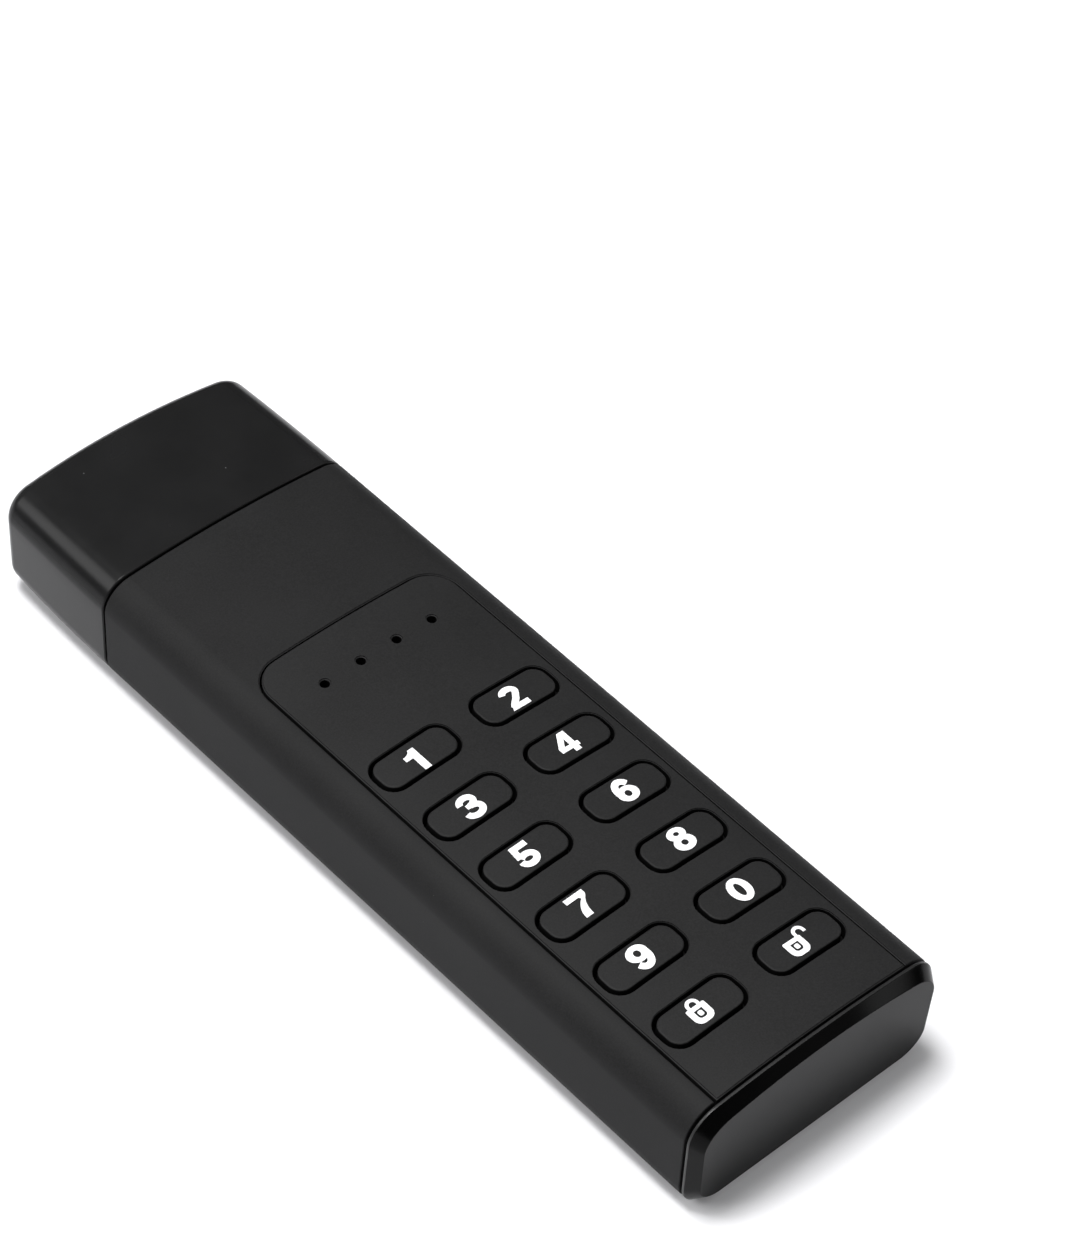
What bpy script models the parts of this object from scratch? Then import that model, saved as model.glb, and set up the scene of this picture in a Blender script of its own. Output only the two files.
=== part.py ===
"""A keypad-locked USB stick, as an assembly of its separate pieces.

Metres, +Z up. X runs across the stick, +Y towards the plug and cap, and the keys face +Z.
The origin is under the middle of the capped stick, on the plane that it lies on.
"""

import math

import bmesh
import bpy
from mathutils import Matrix

MM = 0.001
GAP = 0.3 * MM

# Outside of the stick
LENGTH = 97.6 * MM
WIDTH = 29.5 * MM
THICKNESS = 12.9 * MM
CROWN = 3.8  # fall of the top face, in metres per square metre from the middle line
TOP_RADIUS = 3.2 * MM
BOTTOM_RADIUS = 2.9 * MM
DRAFT = 0.2 * MM  # how far each flank leans in at the bottom
WALL = 1.5 * MM
TAIL_Y = -LENGTH / 2
TIP_Y = LENGTH / 2

# Housing, tail cap and nose
SPLIT_Y = 31.9 * MM
TAIL_SEAM_Y = TAIL_Y + 1.8 * MM
BEZEL = 1.2 * MM
BEZEL_SIDE = 0.75 * MM
BEZEL_MIDDLE = 0.35 * MM
LIP = 0.6 * MM
SPIGOT = 3.0 * MM
NOSE_DEPTH = 3.2 * MM

# Plug, to the USB-A sizes
PLUG_WIDTH = 12.0 * MM
PLUG_HEIGHT = 4.5 * MM
PLUG_WALL = 0.3 * MM
PLUG_CORNER = 0.6 * MM
PLUG_REACH = 15.3 * MM
PLUG_Z = 6.3 * MM
WINDOW_WIDTH = 2.5 * MM
WINDOW_LENGTH = 1.95 * MM
WINDOW_X = 3.25 * MM
WINDOW_SETBACK = 5.16 * MM
TONGUE_HEIGHT = 1.65 * MM
CONTACT_THICKNESS = 0.25 * MM
FRONT_CONTACT_X = (-3.5 * MM, -1.0 * MM, 1.0 * MM, 3.5 * MM)
REAR_CONTACT_X = (-4.0 * MM, -2.0 * MM, 0.0, 2.0 * MM, 4.0 * MM)

# Cap
CAP_WALL = 1.1 * MM
CAP_BULGE = 0.7 * MM  # how far the tip's sides lie back from its middle
CAP_EDGE = 1.6 * MM
CAP_NARROWING = 0.35 * MM
CAP_RISE = 0.7 * MM
CAP_FALL = 0.2 * MM
SLOT_CLEARANCE = 0.35 * MM

# Keypad
PANEL_WIDTH = 22.6 * MM
PANEL_TOP_Y = 14.85 * MM
PANEL_RADIUS = 3.0 * MM
PANEL_BOTTOM_Z = 11.0 * MM
KEY_NAMES = (("1", "2"), ("3", "4"), ("5", "6"), ("7", "8"), ("9", "0"), ("lock", "unlock"))
KEY_COLUMN_X = 6.0 * MM
KEY_ROW_Y = -2.2 * MM
KEY_PITCH = 7.44 * MM
KEY_WIDTH = 8.6 * MM
KEY_HEIGHT = 3.7 * MM
KEY_RADIUS = 1.4 * MM
KEY_CLEARANCE = 0.35 * MM
KEY_PROUD = 0.05 * MM
KEY_FLANGE = 0.7 * MM
KEY_FLANGE_DEPTH = 0.6 * MM
KEY_EDGE = 0.25 * MM
KEY_STEM_RADIUS = 1.0 * MM
KEY_TRAVEL = 0.4 * MM
LIGHT_Y = 9.85 * MM
LIGHT_PITCH = 4.33 * MM
LIGHT_RADIUS = 0.48 * MM

# Inside
BOARD_LOW_Z = 4.2 * MM
BOARD_HIGH_Z = 5.2 * MM
BOARD_WIDTH = 22.6 * MM
BOARD_FRONT_Y = 27.4 * MM
FRAME_WALL = 1.2 * MM
BOARD_BACK_Y = TAIL_SEAM_Y + SPIGOT + FRAME_WALL + 2 * GAP
SWITCH_TOP_Z = 8.6 * MM
SCREW_X = 8.6 * MM
SCREW_Y = 22.5 * MM
SCREW_RADIUS = 0.8 * MM

ARC_STEPS = 6
ROUND_SIDES = 16

PLASTIC_BLACK = (0.022, 0.022, 0.023, 1.0)
GLOSS_BLACK = (0.010, 0.010, 0.011, 1.0)
STEEL = (0.78, 0.78, 0.76, 1.0)
GOLD = (0.83, 0.62, 0.26, 1.0)
BOARD_GREEN = (0.010, 0.085, 0.035, 1.0)
CHIP_BLACK = (0.016, 0.016, 0.017, 1.0)
CLEAR = (0.80, 0.84, 0.86, 1.0)


def clear_scene():
    for item in list(bpy.data.objects):
        bpy.data.objects.remove(item, do_unlink=True)


def new_collection(name):
    collection = bpy.data.collections.new(name)
    bpy.context.scene.collection.children.link(collection)
    return collection


def material(name, colour, roughness, metallic=0.0):
    made = bpy.data.materials.get(name)
    if made:
        return made
    made = bpy.data.materials.new(name)
    made.use_nodes = True
    shader = made.node_tree.nodes["Principled BSDF"]
    shader.inputs["Base Color"].default_value = colour
    shader.inputs["Roughness"].default_value = roughness
    shader.inputs["Metallic"].default_value = metallic
    return made


def arc(centre, radius, start, end, steps=ARC_STEPS):
    """Points on a circle between two angles in degrees, both ends included."""
    points = []
    for step in range(steps + 1):
        angle = math.radians(start + (end - start) * step / steps)
        points.append((centre[0] + radius * math.cos(angle), centre[1] + radius * math.sin(angle)))
    return points


def rounded_rectangle(width, height, radius, centre=(0.0, 0.0), steps=ARC_STEPS):
    x, y = width / 2 - radius, height / 2 - radius
    points = []
    for sign_x, sign_y, start in ((1, 1, 0), (-1, 1, 90), (-1, -1, 180), (1, -1, 270)):
        corner = (centre[0] + sign_x * x, centre[1] + sign_y * y)
        points += arc(corner, radius, start, start + 90, steps)
    return points


def circle(radius, centre=(0.0, 0.0), sides=ROUND_SIDES):
    return arc(centre, radius, 0, 360 - 360 / sides, sides - 1)


def top_z(x, inset=0.0):
    """Height of the crowned top face, or of a face at an inset under it."""
    return THICKNESS - inset - CROWN * x * x


def body_section(inset=0.0, steps=8):
    """The stick's outline across X and Z, drawn anticlockwise and set in by an inset."""
    half = WIDTH / 2 - inset
    top_radius = max(TOP_RADIUS - inset, 0.5 * MM)
    low_radius = max(BOTTOM_RADIUS - inset, 0.5 * MM)
    shoulder = half - top_radius
    shoulder_z = top_z(shoulder, inset) - top_radius
    low_shoulder = half - DRAFT - low_radius
    points = []
    for step in range(1, steps):
        points.append((low_shoulder * (2 * step / steps - 1), inset))
    points += arc((low_shoulder, inset + low_radius), low_radius, 270, 360)
    points += arc((shoulder, shoulder_z), top_radius, 0, 85)
    for step in range(1, steps):
        x = shoulder * (1 - 2 * step / steps)
        points.append((x, top_z(x, inset)))
    points += arc((-shoulder, shoulder_z), top_radius, 95, 180)
    points += arc((-low_shoulder, inset + low_radius), low_radius, 180, 270)
    return points


def mesh_object(name, mesh, collection):
    made = bpy.data.objects.new(name, mesh)
    collection.objects.link(made)
    return made


def prism(name, outlines, low, high, collection, axis="Z"):
    """A filled outline, with any further outlines as holes or as solids beside it, given a depth."""
    curve = bpy.data.curves.new(name, "CURVE")
    curve.dimensions = "2D"
    curve.fill_mode = "BOTH"
    curve.extrude = (high - low) / 2
    for outline in outlines:
        spline = curve.splines.new("POLY")
        spline.points.add(len(outline) - 1)
        spline.use_cyclic_u = True
        for point, (u, v) in zip(spline.points, outline):
            point.co = (u, v, 0.0, 1.0)
    guide = bpy.data.objects.new(name + "_guide", curve)
    collection.objects.link(guide)
    graph = bpy.context.evaluated_depsgraph_get()
    mesh = bpy.data.meshes.new_from_object(guide.evaluated_get(graph))
    mesh.name = name
    bpy.data.objects.remove(guide, do_unlink=True)
    welded = bmesh.new()
    welded.from_mesh(mesh)
    bmesh.ops.remove_doubles(welded, verts=welded.verts, dist=0.001 * MM)
    bmesh.ops.recalc_face_normals(welded, faces=welded.faces)
    welded.to_mesh(mesh)
    welded.free()
    if axis == "Y":
        mesh.transform(Matrix.Rotation(math.radians(90), 4, "X"))
        mesh.transform(Matrix.Translation((0.0, (low + high) / 2, 0.0)))
    else:
        mesh.transform(Matrix.Translation((0.0, 0.0, (low + high) / 2)))
    return mesh_object(name, mesh, collection)


def loft(name, rings, collection, apex=None):
    """A solid through rings of equally many points, closed flat, or at the far end by an apex."""
    mesh = bpy.data.meshes.new(name)
    shape = bmesh.new()
    rows = [[shape.verts.new(point) for point in ring] for ring in rings]
    for near, far in zip(rows, rows[1:]):
        for index in range(len(near)):
            following = (index + 1) % len(near)
            shape.faces.new((near[index], near[following], far[following], far[index]))
    shape.faces.new(rows[0])
    if apex is None:
        shape.faces.new(rows[-1])
    else:
        point = shape.verts.new(apex)
        last = rows[-1]
        for index in range(len(last)):
            shape.faces.new((last[index], last[(index + 1) % len(last)], point))
    bmesh.ops.recalc_face_normals(shape, faces=shape.faces)
    shape.to_mesh(mesh)
    shape.free()
    return mesh_object(name, mesh, collection)


def box(name, low, high, collection):
    centre = [(a + b) / 2 for a, b in zip(low, high)]
    size = [b - a for a, b in zip(low, high)]
    mesh = bpy.data.meshes.new(name)
    shape = bmesh.new()
    bmesh.ops.create_cube(shape, size=1.0)
    bmesh.ops.scale(shape, vec=size, verts=shape.verts)
    bmesh.ops.translate(shape, vec=centre, verts=shape.verts)
    shape.to_mesh(mesh)
    shape.free()
    return mesh_object(name, mesh, collection)


def cylinder(name, radius, low, high, centre, collection, sides=ROUND_SIDES):
    mesh = bpy.data.meshes.new(name)
    shape = bmesh.new()
    bmesh.ops.create_cone(
        shape, cap_ends=True, segments=sides, radius1=radius, radius2=radius, depth=high - low
    )
    bmesh.ops.translate(shape, vec=(centre[0], centre[1], (low + high) / 2), verts=shape.verts)
    shape.to_mesh(mesh)
    shape.free()
    return mesh_object(name, mesh, collection)


def boolean(target, other, operation, cutters):
    """Cuts, joins or trims a piece with another object, which is kept out of the model."""
    modifier = target.modifiers.new(operation.lower() + "_" + other.name, "BOOLEAN")
    modifier.operation = operation
    modifier.solver = "EXACT"
    modifier.object = other
    for collection in list(other.users_collection):
        collection.objects.unlink(other)
    cutters.objects.link(other)
    other.hide_render = True
    other.display_type = "WIRE"


def finish(piece, piece_material, origin=(0.0, 0.0, 0.0)):
    """Gives a piece its material and moves its origin, leaving its shape where it is."""
    piece.data.materials.clear()
    piece.data.materials.append(piece_material)
    piece.data.transform(Matrix.Translation([-value for value in origin]))
    piece.location = origin
    piece.data.shade_smooth()
    piece.data.set_sharp_from_angle(angle=math.radians(35))
    return piece


def section_ring(y, inset):
    """The body section stood at a place along Y."""
    return [(x, y, z) for x, z in body_section(inset)]


def panel_outline(grow=0.0):
    """The keypad panel in plan: round corners towards the plug, square at the tail."""
    half = PANEL_WIDTH / 2 + grow
    radius = PANEL_RADIUS + grow
    corner_y = PANEL_TOP_Y + grow - radius
    tail_y = TAIL_SEAM_Y - grow
    points = [(-half, tail_y), (half, tail_y)]
    points += arc((half - radius, corner_y), radius, 0, 90)
    points += arc((radius - half, corner_y), radius, 90, 180)
    return points


def key_places():
    for row, names in enumerate(KEY_NAMES):
        for name, side in zip(names, (-1, 1)):
            yield name, side * KEY_COLUMN_X, KEY_ROW_Y - row * KEY_PITCH


def light_places():
    return [(LIGHT_PITCH * (index - 1.5), LIGHT_Y) for index in range(4)]


def make_housing(parts, cutters):
    """One moulded sleeve, with a window in its top face that runs out at the tail."""
    sleeve = loft(
        "housing_sleeve",
        [section_ring(TAIL_SEAM_Y, 0.0), section_ring(SPLIT_Y, 0.0)],
        parts,
    )
    reach = 5 * MM
    hollow = loft(
        "housing_hollow",
        [section_ring(TAIL_SEAM_Y - reach, WALL), section_ring(SPLIT_Y + reach, WALL)],
        cutters,
    )
    window = prism(
        "housing_window", [panel_outline(GAP)], THICKNESS / 2, THICKNESS + reach, cutters
    )
    boolean(sleeve, hollow, "DIFFERENCE", cutters)
    boolean(sleeve, window, "DIFFERENCE", cutters)
    finish(sleeve, material("housing_plastic", PLASTIC_BLACK, 0.55))


def make_panel(parts, cutters):
    """The crowned keypad panel, with its twelve key openings and four light holes."""
    panel = prism("keypad_panel", [panel_outline()], PANEL_BOTTOM_Z, THICKNESS + MM, parts)
    crown = loft(
        "panel_crown",
        [section_ring(TAIL_Y - MM, 0.0), section_ring(TIP_Y, 0.0)],
        cutters,
    )
    openings = [
        rounded_rectangle(
            KEY_WIDTH + 2 * KEY_CLEARANCE,
            KEY_HEIGHT + 2 * KEY_CLEARANCE,
            KEY_RADIUS + KEY_CLEARANCE,
            (x, y),
            4,
        )
        for _, x, y in key_places()
    ]
    openings += [circle(LIGHT_RADIUS, place, 12) for place in light_places()]
    holes = prism("panel_openings", openings, THICKNESS / 2, THICKNESS + 2 * MM, cutters)
    boolean(panel, crown, "INTERSECT", cutters)
    boolean(panel, holes, "DIFFERENCE", cutters)
    finish(panel, material("panel_plastic", PLASTIC_BLACK, 0.45))


def make_keys(parts, cutters):
    """Twelve hard keys: a cap, a flange that stops it under the panel, and a stem."""
    flange_high = PANEL_BOTTOM_Z - GAP
    flange_low = flange_high - KEY_FLANGE_DEPTH
    stem_low = SWITCH_TOP_Z + KEY_TRAVEL + 0.1 * MM
    for name, x, y in key_places():
        top = top_z(KEY_COLUMN_X) + KEY_PROUD
        outer = rounded_rectangle(KEY_WIDTH, KEY_HEIGHT, KEY_RADIUS, (x, y), 4)
        eased = rounded_rectangle(
            KEY_WIDTH - 2 * KEY_EDGE, KEY_HEIGHT - 2 * KEY_EDGE, KEY_RADIUS - KEY_EDGE, (x, y), 4
        )
        lean = 2 * CROWN * x
        rings = [
            [(u, v, flange_low + 0.1 * MM) for u, v in outer],
            [(u, v, top - KEY_EDGE - lean * (u - x)) for u, v in outer],
            [(u, v, top - lean * (u - x)) for u, v in eased],
        ]
        key = loft("key_" + name, rings, parts)
        flange_size = 2 * (KEY_CLEARANCE + KEY_FLANGE)
        flange = prism(
            "flange_" + name,
            [
                rounded_rectangle(
                    KEY_WIDTH + flange_size, KEY_HEIGHT + flange_size, KEY_RADIUS, (x, y), 2
                )
            ],
            flange_low,
            flange_high,
            cutters,
        )
        stem = cylinder(
            "stem_" + name, KEY_STEM_RADIUS, stem_low, flange_low + 0.3 * MM, (x, y), cutters, 10
        )
        boolean(key, flange, "UNION", cutters)
        boolean(key, stem, "UNION", cutters)
        finish(key, material("key_plastic", PLASTIC_BLACK, 0.40), (x, y, top))


def make_switches(parts, cutters):
    """A push switch on the board under each key."""
    low = BOARD_HIGH_Z + GAP
    case_high = low + 2.2 * MM
    for name, x, y in key_places():
        half_x, half_y = 2.3 * MM, 1.7 * MM
        low_corner = (x - half_x, y - half_y, low)
        case = box("switch_" + name, low_corner, (x + half_x, y + half_y, case_high), parts)
        button = cylinder(
            "button_" + name, 0.9 * MM, case_high - 0.2 * MM, SWITCH_TOP_Z, (x, y), cutters, 10
        )
        boolean(case, button, "UNION", cutters)
        finish(case, material("switch_steel", STEEL, 0.35, 1.0))


def tail_face_ring():
    """The end face's outline: set in from the body's, and least at the middle of the top."""
    ring = []
    for x, z in body_section():
        up = z / THICKNESS
        fall = BEZEL_MIDDLE + (BEZEL - BEZEL_MIDDLE) * (2 * x / WIDTH) ** 2
        z += BEZEL * (1 - up) - fall * up
        ring.append((x * (1 - 2 * BEZEL_SIDE / WIDTH), TAIL_Y, z))
    return ring


def make_tail_cap(parts, cutters):
    """The gloss tail cap: a chamfered bezel, and a spigot that goes into the sleeve."""
    seam = TAIL_SEAM_Y - GAP
    rings = [
        section_ring(seam, 0.0),
        section_ring(TAIL_Y + BEZEL, 0.0),
        tail_face_ring(),
    ]
    tail = loft("tail_cap", rings, parts)
    spigot_inset = WALL + GAP
    limit = PANEL_BOTTOM_Z - GAP
    trimmed = [(x, min(z, limit)) for x, z in body_section(spigot_inset)]
    spigot = loft(
        "tail_spigot",
        [
            [(x, seam - 0.2 * MM, z) for x, z in trimmed],
            [(x, TAIL_SEAM_Y + SPIGOT, z) for x, z in trimmed],
        ],
        cutters,
    )
    boolean(tail, spigot, "UNION", cutters)
    finish(tail, material("gloss_plastic", GLOSS_BLACK, 0.12))


def make_nose(parts, cutters):
    """The nose that closes the sleeve around the plug, with the short lip that the cap fits over."""
    back_y = SPLIT_Y - NOSE_DEPTH
    nose = loft(
        "nose_collar",
        [section_ring(back_y, WALL + GAP), section_ring(SPLIT_Y + LIP, WALL + GAP)],
        parts,
    )
    opening = prism(
        "nose_opening",
        [
            rounded_rectangle(
                PLUG_WIDTH + 2 * GAP, PLUG_HEIGHT + 2 * GAP, PLUG_CORNER, (0.0, PLUG_Z), 3
            )
        ],
        back_y - MM,
        SPLIT_Y + 2 * MM,
        cutters,
        "Y",
    )
    boolean(nose, opening, "DIFFERENCE", cutters)
    finish(nose, material("nose_plastic", PLASTIC_BLACK, 0.35))


def make_frame(parts, cutters):
    """The tray that carries the board and holds the panel up from below."""
    front_y = SPLIT_Y - NOSE_DEPTH - GAP
    back_y = TAIL_SEAM_Y + SPIGOT + GAP
    outer_inset = WALL + GAP
    top = PANEL_BOTTOM_Z - GAP
    outer = [(x, min(z, top)) for x, z in body_section(outer_inset)]
    frame = loft(
        "inner_frame",
        [[(x, back_y, z) for x, z in outer], [(x, front_y, z) for x, z in outer]],
        parts,
    )
    half = WIDTH / 2 - outer_inset - FRAME_WALL
    well = box(
        "frame_well",
        (-half, back_y + FRAME_WALL, outer_inset + 0.6 * MM),
        (half, front_y + MM, THICKNESS),
        cutters,
    )
    boolean(frame, well, "DIFFERENCE", cutters)
    for side in (-1, 1):
        boss = cylinder(
            "frame_boss",
            1.9 * MM,
            outer_inset + 0.2 * MM,
            BOARD_LOW_Z - GAP,
            (side * SCREW_X, SCREW_Y),
            cutters,
            12,
        )
        bore = cylinder(
            "frame_boss_bore",
            SCREW_RADIUS + GAP,
            outer_inset + 0.7 * MM,
            BOARD_LOW_Z + MM,
            (side * SCREW_X, SCREW_Y),
            cutters,
            12,
        )
        boolean(frame, boss, "UNION", cutters)
        boolean(frame, bore, "DIFFERENCE", cutters)
    bar = box(
        "frame_bar",
        (-half - 0.2 * MM, PANEL_TOP_Y - 2.4 * MM, BOARD_HIGH_Z + GAP),
        (half + 0.2 * MM, PANEL_TOP_Y - 1.0 * MM, top),
        cutters,
    )
    boolean(frame, bar, "UNION", cutters)
    finish(frame, material("frame_plastic", PLASTIC_BLACK, 0.6))


def make_board(parts, cutters):
    half = BOARD_WIDTH / 2
    board = box(
        "circuit_board",
        (-half, BOARD_BACK_Y, BOARD_LOW_Z),
        (half, BOARD_FRONT_Y, BOARD_HIGH_Z),
        parts,
    )
    outlines = [circle(SCREW_RADIUS + GAP, (side * SCREW_X, SCREW_Y), 12) for side in (-1, 1)]
    holes = prism("board_holes", outlines, BOARD_LOW_Z - MM, BOARD_HIGH_Z + MM, cutters)
    boolean(board, holes, "DIFFERENCE", cutters)
    finish(board, material("board_green", BOARD_GREEN, 0.4))


def make_board_screws(parts, cutters):
    head_low = BOARD_HIGH_Z + GAP
    for number, side in enumerate((-1, 1), 1):
        place = (side * SCREW_X, SCREW_Y)
        low = WALL + GAP + 1.0 * MM
        shank_high = head_low + 0.2 * MM
        screw = cylinder("board_screw_%d" % number, SCREW_RADIUS, low, shank_high, place, parts, 12)
        head = cylinder("screw_head", 1.5 * MM, head_low, head_low + 1.0 * MM, place, cutters, 12)
        boolean(screw, head, "UNION", cutters)
        finish(screw, material("screw_steel", STEEL, 0.3, 1.0))


def make_chips(parts):
    """The packages on the board. Each has a centre, a size, a height and a side of the board."""
    packages = (
        ("controller_chip", (0.0, 11.0), (9.0, 9.0), 0.9, "under"),
        ("encryption_chip", (0.0, -1.5), (7.0, 7.0), 0.9, "under"),
        ("flash_chip_1", (0.0, -16.5), (18.0, 12.0), 1.0, "under"),
        ("flash_chip_2", (0.0, -31.5), (18.0, 12.0), 1.0, "under"),
        ("voltage_regulator", (-5.5, 19.0), (3.0, 2.9), 1.1, "over"),
        ("power_inductor", (0.2, 18.6), (4.0, 4.0), 1.8, "over"),
        ("crystal", (5.2, 18.4), (3.2, 2.5), 0.8, "over"),
    )
    for name, centre, size, height, side in packages:
        low = BOARD_HIGH_Z + GAP
        if side == "under":
            low = BOARD_LOW_Z - GAP - height * MM
        x, y = centre[0] * MM, centre[1] * MM
        half_x, half_y = size[0] * MM / 2, size[1] * MM / 2
        high_corner = (x + half_x, y + half_y, low + height * MM)
        chip = box(name, (x - half_x, y - half_y, low), high_corner, parts)
        if name == "crystal":
            finish(chip, material("crystal_can", STEEL, 0.3, 1.0))
        else:
            finish(chip, material("chip_package", CHIP_BLACK, 0.5))


def make_status_lights(parts, cutters):
    """Four lights on the board, and the clear guide that takes them up to the panel."""
    low = BOARD_HIGH_Z + GAP
    high = low + 0.6 * MM
    for number, (x, y) in enumerate(light_places(), 1):
        light = box(
            "status_light_%d" % number,
            (x - 0.8 * MM, y - 0.4 * MM, low),
            (x + 0.8 * MM, y + 0.4 * MM, high),
            parts,
        )
        finish(light, material("status_light_lens", CLEAR, 0.3))
    bar_high = PANEL_BOTTOM_Z - GAP
    bar_low = bar_high - 1.0 * MM
    reach = 1.5 * LIGHT_PITCH + 1.2 * MM
    guide = box(
        "light_guide", (-reach, LIGHT_Y - MM, bar_low), (reach, LIGHT_Y + MM, bar_high), parts
    )
    for place in light_places():
        leg = cylinder("light_leg", 0.7 * MM, high + GAP, bar_low + 0.2 * MM, place, cutters, 10)
        boolean(guide, leg, "UNION", cutters)
    finish(guide, material("clear_plastic", CLEAR, 0.1))


def make_plug(parts, cutters):
    """The USB-A plug: its folded shell with four windows, its tongue, and nine contacts on top of that."""
    tip = SPLIT_Y + PLUG_REACH
    back = BOARD_FRONT_Y + GAP
    centre = (0.0, PLUG_Z)
    shell = prism(
        "plug_shell",
        [
            rounded_rectangle(PLUG_WIDTH, PLUG_HEIGHT, PLUG_CORNER, centre, 4),
            rounded_rectangle(
                PLUG_WIDTH - 2 * PLUG_WALL, PLUG_HEIGHT - 2 * PLUG_WALL, 0.3 * MM, centre, 4
            ),
        ],
        back,
        tip,
        parts,
        "Y",
    )
    for side in (-1, 1):
        x = side * WINDOW_X
        window = box(
            "plug_window",
            (x - WINDOW_WIDTH / 2, tip - WINDOW_SETBACK - WINDOW_LENGTH, PLUG_Z - PLUG_HEIGHT),
            (x + WINDOW_WIDTH / 2, tip - WINDOW_SETBACK, PLUG_Z + PLUG_HEIGHT),
            cutters,
        )
        boolean(shell, window, "DIFFERENCE", cutters)
    finish(shell, material("plug_steel", STEEL, 0.22, 1.0))

    tongue_low = PLUG_Z - PLUG_HEIGHT / 2 + PLUG_WALL + GAP
    tongue_high = tongue_low + TONGUE_HEIGHT
    tongue_half = PLUG_WIDTH / 2 - PLUG_WALL - GAP
    tongue = box(
        "plug_tongue",
        (-tongue_half, back + GAP, tongue_low),
        (tongue_half, tip - 0.5 * MM, tongue_high),
        parts,
    )
    finish(tongue, material("tongue_plastic", CHIP_BLACK, 0.4))

    contact_low = tongue_high + GAP
    contact_high = contact_low + CONTACT_THICKNESS
    rows = (
        ("usb_contact_", FRONT_CONTACT_X, 1.0 * MM, 1.2 * MM, 8.6 * MM),
        ("usb_rear_contact_", REAR_CONTACT_X, 0.6 * MM, 9.8 * MM, 12.4 * MM),
    )
    for prefix, places, width, near, far in rows:
        for number, x in enumerate(places, 1):
            contact = box(
                prefix + str(number),
                (x - width / 2, tip - far, contact_low),
                (x + width / 2, tip - near, contact_high),
                parts,
            )
            finish(contact, material("contact_gold", GOLD, 0.2, 1.0))


def cap_ring(y, inset, share=1.0):
    """A ring of the cap: the body section, narrowing and bowing as it nears the tip.

    A share under one draws the ring in towards the middle, across the tip's face.
    """
    nearness = max(y - SPLIT_Y, 0.0) / (TIP_Y - SPLIT_Y)
    taper = nearness * nearness
    narrow = 1 - taper * 2 * CAP_NARROWING / WIDTH
    middle_z = THICKNESS / 2
    ring = []
    for x, z in body_section(inset):
        up = z / THICKNESS
        z += taper * (CAP_RISE * (1 - up) - CAP_FALL * up)
        x *= share * narrow
        z = middle_z + (z - middle_z) * share
        ring.append((x, y - taper * CAP_BULGE * (2 * x / WIDTH) ** 2, z))
    return ring


def cap_form(name, inset, mouth_y, tip_y, edge, collection):
    """The cap's shape at an inset, from its mouth to an eased edge and a bowed tip."""
    run = tip_y - edge - mouth_y
    rings = [cap_ring(mouth_y + run * share, inset) for share in (0.0, 0.35, 0.65, 0.85)]
    for step in range(ARC_STEPS + 1):
        angle = math.radians(90 * step / ARC_STEPS)
        ring_y = tip_y - edge * (1 - math.sin(angle))
        rings.append(cap_ring(ring_y, inset + edge * (1 - math.cos(angle))))
    for share in (0.7, 0.35):
        rings.append(cap_ring(tip_y, inset + edge, share))
    return loft(name, rings, collection, (0.0, tip_y, THICKNESS / 2))


def make_cap(parts, cutters):
    """The pull-off cap: a gloss shell, and the liner with the slot that grips the plug."""
    mouth_y = SPLIT_Y + GAP
    origin = (0.0, SPLIT_Y, PLUG_Z)
    shell = cap_form("cap_shell", 0.0, mouth_y, TIP_Y, CAP_EDGE, parts)
    cavity = cap_form("cap_cavity", CAP_WALL, mouth_y - MM, TIP_Y - CAP_WALL, CAP_EDGE / 2, cutters)
    boolean(shell, cavity, "DIFFERENCE", cutters)
    finish(shell, material("gloss_plastic", GLOSS_BLACK, 0.12), origin)

    liner_mouth_y = SPLIT_Y + LIP + 2 * GAP
    liner_end_y = TIP_Y - CAP_WALL - CAP_BULGE - 2 * GAP
    run = liner_end_y - liner_mouth_y
    rings = [cap_ring(liner_mouth_y + run * step / 3, CAP_WALL + GAP) for step in range(4)]
    liner = loft("cap_liner", rings, parts)
    slot = prism(
        "cap_slot",
        [
            rounded_rectangle(
                PLUG_WIDTH + 2 * SLOT_CLEARANCE,
                PLUG_HEIGHT + 2 * SLOT_CLEARANCE,
                PLUG_CORNER,
                (0.0, PLUG_Z),
                3,
            )
        ],
        liner_mouth_y - MM,
        TIP_Y,
        cutters,
        "Y",
    )
    boolean(liner, slot, "DIFFERENCE", cutters)
    finish(liner, material("liner_plastic", PLASTIC_BLACK, 0.6), origin)


def main():
    clear_scene()
    parts = new_collection("usb_flash_drive")
    cutters = new_collection("cutters")
    make_housing(parts, cutters)
    make_panel(parts, cutters)
    make_keys(parts, cutters)
    make_switches(parts, cutters)
    make_tail_cap(parts, cutters)
    make_nose(parts, cutters)
    make_frame(parts, cutters)
    make_board(parts, cutters)
    make_board_screws(parts, cutters)
    make_chips(parts)
    make_status_lights(parts, cutters)
    make_plug(parts, cutters)
    make_cap(parts, cutters)


main()
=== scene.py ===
"""The looks of the keypad USB stick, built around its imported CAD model.

The frame is in metres: X across the stick, +Y towards the plug and cap, keys facing +Z.
Shapes are worked out in millimetres here, and become metres when a piece is made.
"""

import math

import bmesh
import bpy
from mathutils import Matrix, Vector
from mathutils.geometry import delaunay_2d_cdt


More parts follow.
